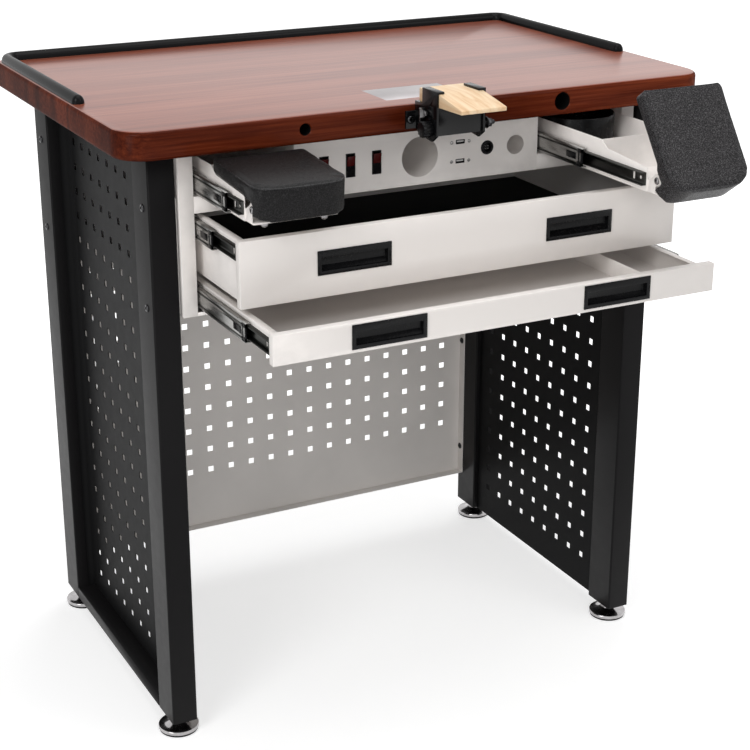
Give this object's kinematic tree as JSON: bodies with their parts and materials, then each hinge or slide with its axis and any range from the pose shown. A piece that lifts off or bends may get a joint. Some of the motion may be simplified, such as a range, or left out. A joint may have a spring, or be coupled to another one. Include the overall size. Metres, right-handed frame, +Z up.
{
  "type": "jewellers workbench",
  "caption": "Jewellers workbench: steel frame with perforated panels, wooden top with bench pin, sliding catch drawers and tilting cushioned armrests over small trays.",
  "frame": {"origin": "on the floor, on the centre line between the side frames, midway in depth between the worktop's back edge and the foremost reach of the raised right armrest as stored", "axes": "+Z up, +Y towards the back of the bench, +X to the sitter's right"},
  "size_m": [0.9, 0.8412, 0.9391],
  "materials": {
    "charcoal_paint": "satin",
    "grey_paint": "satin",
    "white_paint": "satin",
    "worktop_wood": "gloss",
    "pin_wood": "matte",
    "black_rubber": "matte",
    "zinc_steel": "satin",
    "chrome": "polished",
    "black_plastic": "matte",
    "red_plastic": "gloss",
    "black_leather": "satin",
    "black_paint": "satin"
  },
  "bodies": {
    "bench": {"left_side_frame": "charcoal_paint", "right_side_frame": "charcoal_paint", "left_side_panel": "charcoal_paint", "right_side_panel": "charcoal_paint", "back_panel": "grey_paint", "frame_screws": "chrome", "worktop": "worktop_wood", "edge_lip": "black_rubber", "bench_plate": "zinc_steel", "cabinet_left_side": "white_paint", "cabinet_right_side": "white_paint", "cabinet_back": "white_paint", "cabinet_floor": "white_paint", "fascia_panel": "white_paint", "utility_box": "white_paint", "armrest_rails": "white_paint", "slot_sockets": "zinc_steel", "slot_screws": "chrome", "round_socket": "black_plastic", "tool_tubes": "white_paint", "mains_inlet": "black_plastic", "switch_frames": "black_plastic", "slide_channels": "zinc_steel", "pin_bracket": "black_paint", "bracket_screws": "chrome"},
    "upper_drawer": {"upper_drawer_front": "white_paint", "upper_drawer_body": "white_paint", "upper_drawer_liner": "black_rubber", "upper_handles": "black_plastic", "upper_slide_inners": "zinc_steel"},
    "upper_middles": {"upper_slide_middles": "zinc_steel"},
    "lower_drawer": {"lower_drawer_front": "white_paint", "lower_drawer_body": "white_paint", "lower_drawer_divider": "white_paint", "lower_handles": "black_plastic", "lower_slide_inners": "zinc_steel"},
    "lower_middles": {"lower_slide_middles": "zinc_steel"},
    "left_tray": {"left_armrest_tray": "white_paint", "left_tray_fasteners": "chrome", "left_slide_inners": "zinc_steel"},
    "left_middles": {"left_slide_middles": "zinc_steel"},
    "left_pad": {"left_armrest_pad": "black_leather", "left_pad_bracket": "zinc_steel"},
    "right_tray": {"right_armrest_tray": "white_paint", "right_tray_fasteners": "chrome", "right_slide_inners": "zinc_steel", "parts_dish": "black_plastic"},
    "right_middles": {"right_slide_middles": "zinc_steel"},
    "right_pad": {"right_armrest_pad": "black_leather", "right_pad_bracket": "zinc_steel"},
    "bench_pin": {"bench_pin": "pin_wood"},
    "clamp_screw": {"clamp_screw": "black_paint"},
    "thumb_screw": {"thumb_screw": "chrome"},
    "foot_front_left": {"foot_front_left": "chrome"},
    "foot_front_right": {"foot_front_right": "chrome"},
    "foot_back_left": {"foot_back_left": "chrome"},
    "foot_back_right": {"foot_back_right": "chrome"},
    "rocker_1": {"rocker_1": "red_plastic"},
    "rocker_2": {"rocker_2": "red_plastic"},
    "rocker_3": {"rocker_3": "red_plastic"}
  },
  "joints": [
    {"name": "upper_drawer_slide", "type": "slide", "parent": "bench", "child": "upper_drawer", "axis": [0, -1, 0], "range_m": [-0.1427, 0.2273]},
    {"name": "upper_middles_slide", "type": "slide", "parent": "bench", "child": "upper_middles", "axis": [0, -1, 0], "range_m": [-0.0671, 0.10682]},
    {"name": "lower_drawer_slide", "type": "slide", "parent": "bench", "child": "lower_drawer", "axis": [0, -1, 0], "range_m": [-0.2407, 0.1293]},
    {"name": "lower_middles_slide", "type": "slide", "parent": "bench", "child": "lower_middles", "axis": [0, -1, 0], "range_m": [-0.1711, 0.09196]},
    {"name": "left_tray_slide", "type": "slide", "parent": "bench", "child": "left_tray", "axis": [0, -1, 0], "range_m": [-0.152, 0.148]},
    {"name": "left_middles_slide", "type": "slide", "parent": "bench", "child": "left_middles", "axis": [0, -1, 0], "range_m": [-0.1181, 0.115]},
    {"name": "right_tray_slide", "type": "slide", "parent": "bench", "child": "right_tray", "axis": [0, -1, 0], "range_m": [-0.168, 0.039]},
    {"name": "right_middles_slide", "type": "slide", "parent": "bench", "child": "right_middles", "axis": [0, -1, 0], "range_m": [-0.08056, 0.01878]},
    {"name": "left_pad_hinge", "type": "hinge", "parent": "left_tray", "child": "left_pad", "pos_m": [-0.2645, -0.26586, 0.8282], "axis": [1, 0, 0], "range_deg": [0, 52.36]},
    {"name": "right_pad_hinge", "type": "hinge", "parent": "right_tray", "child": "right_pad", "pos_m": [0.2645, -0.37486, 0.8282], "axis": [1, 0, 0], "range_deg": [-51.36, 1]},
    {"name": "rocker_1_hinge", "type": "hinge", "parent": "bench", "child": "rocker_1", "pos_m": [-0.148, -0.10206, 0.826], "axis": [1, 0, 0], "range_deg": [-14, 0]},
    {"name": "rocker_2_hinge", "type": "hinge", "parent": "bench", "child": "rocker_2", "pos_m": [-0.108, -0.10206, 0.826], "axis": [1, 0, 0], "range_deg": [-14, 0]},
    {"name": "rocker_3_hinge", "type": "hinge", "parent": "bench", "child": "rocker_3", "pos_m": [-0.068, -0.10206, 0.826], "axis": [1, 0, 0], "range_deg": [-14, 0]},
    {"name": "foot_front_left_height", "type": "slide", "parent": "bench", "child": "foot_front_left", "axis": [0, 0, -1], "range_m": [0, 0.015]},
    {"name": "foot_front_right_height", "type": "slide", "parent": "bench", "child": "foot_front_right", "axis": [0, 0, -1], "range_m": [0, 0.015]},
    {"name": "foot_back_left_height", "type": "slide", "parent": "bench", "child": "foot_back_left", "axis": [0, 0, -1], "range_m": [0, 0.015]},
    {"name": "foot_back_right_height", "type": "slide", "parent": "bench", "child": "foot_back_right", "axis": [0, 0, -1], "range_m": [0, 0.015]},
    {"name": "bench_pin_slide", "type": "slide", "parent": "bench", "child": "bench_pin", "axis": [0, -1, 0], "range_m": [-0.005, 0.025]},
    {"name": "clamp_screw_turn", "type": "hinge", "parent": "bench", "child": "clamp_screw", "pos_m": [0, -0.20106, 0.888], "axis": [1, 0, 0], "range_deg": [-180, 180]},
    {"name": "thumb_screw_turn", "type": "hinge", "parent": "bench", "child": "thumb_screw", "pos_m": [-0.034, -0.19206, 0.906], "axis": [1, 0, 0], "range_deg": [-180, 180]}
  ],
  "couplings": [
    {"joint": "upper_middles_slide", "follows": "upper_drawer_slide", "ratio": 0.46952},
    {"joint": "lower_middles_slide", "follows": "lower_drawer_slide", "ratio": 0.71043},
    {"joint": "left_middles_slide", "follows": "left_tray_slide", "ratio": 0.77632},
    {"joint": "right_middles_slide", "follows": "right_tray_slide", "ratio": 0.47893}
  ]
}
